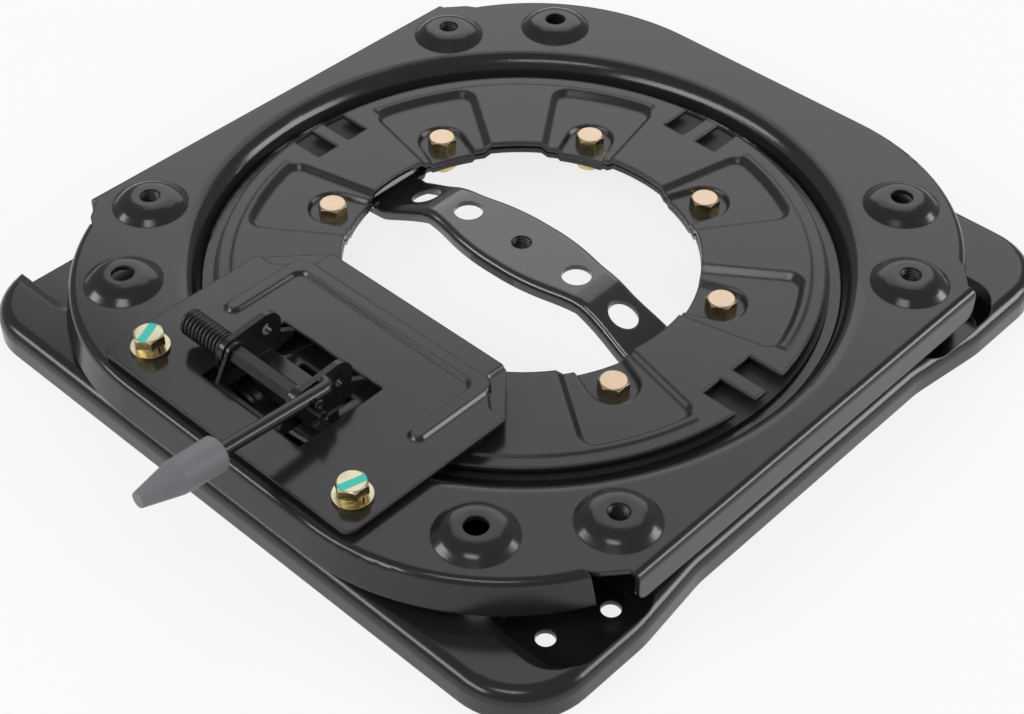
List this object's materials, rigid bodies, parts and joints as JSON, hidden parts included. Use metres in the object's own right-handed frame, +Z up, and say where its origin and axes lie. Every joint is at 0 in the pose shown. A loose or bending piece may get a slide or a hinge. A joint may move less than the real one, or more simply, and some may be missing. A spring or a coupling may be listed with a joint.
{
  "type": "swivel seat base",
  "caption": "Pressed steel turntable for a vehicle seat, turning on a pressed base and held by a spring-loaded lever latch.",
  "frame": {"origin": "on the swivel axis, in the plane that the base stands on", "axes": "+Z up along the swivel axis; -Y towards the latch and its handle; +X to the right seen from the handle"},
  "size_m": [0.368, 0.443, 0.0717],
  "materials": {
    "black_coat": "satin powder coat",
    "gold_zinc": "yellow zinc",
    "dark_steel": "blackened",
    "glide_plastic": "matte",
    "grip_plastic": "matte moulded"
  },
  "bodies": {
    "base": {"base_plate": "black_coat", "strap_middle": "black_coat", "retainer_ring": "black_coat", "lower_glide_ring": "glide_plastic", "ring_bolts": "gold_zinc", "ring_washers": "dark_steel", "ring_nuts": "gold_zinc", "strap_weld_nut": "dark_steel"},
    "turntable": {"turntable_plate": "black_coat", "turntable_weld_nuts": "dark_steel", "upper_glide_ring": "glide_plastic", "lock_cover_plate": "black_coat", "latch_bracket": "black_coat", "lock_bolts": "gold_zinc", "lock_spring_washers": "gold_zinc", "lock_flat_washers": "gold_zinc", "lock_weld_nuts": "dark_steel", "pivot_pin": "dark_steel", "pivot_spacer": "dark_steel", "torsion_spring": "dark_steel", "split_pin": "dark_steel"},
    "lever": {"latch_pawl": "black_coat", "lever_rod": "black_coat", "lever_grip": "grip_plastic"}
  },
  "joints": [
    {"name": "swivel", "type": "hinge", "parent": "base", "child": "turntable", "pos_m": [0, 0, 0.03], "axis": [0, 0, 1], "continuous": true},
    {"name": "latch_lever", "type": "hinge", "parent": "turntable", "child": "lever", "pos_m": [0, -0.1553, 0.0525], "axis": [1, 0, 0], "range_deg": [-10, 12], "stiffness_Nm_per_rad": 1.2, "springref_deg": -10}
  ]
}
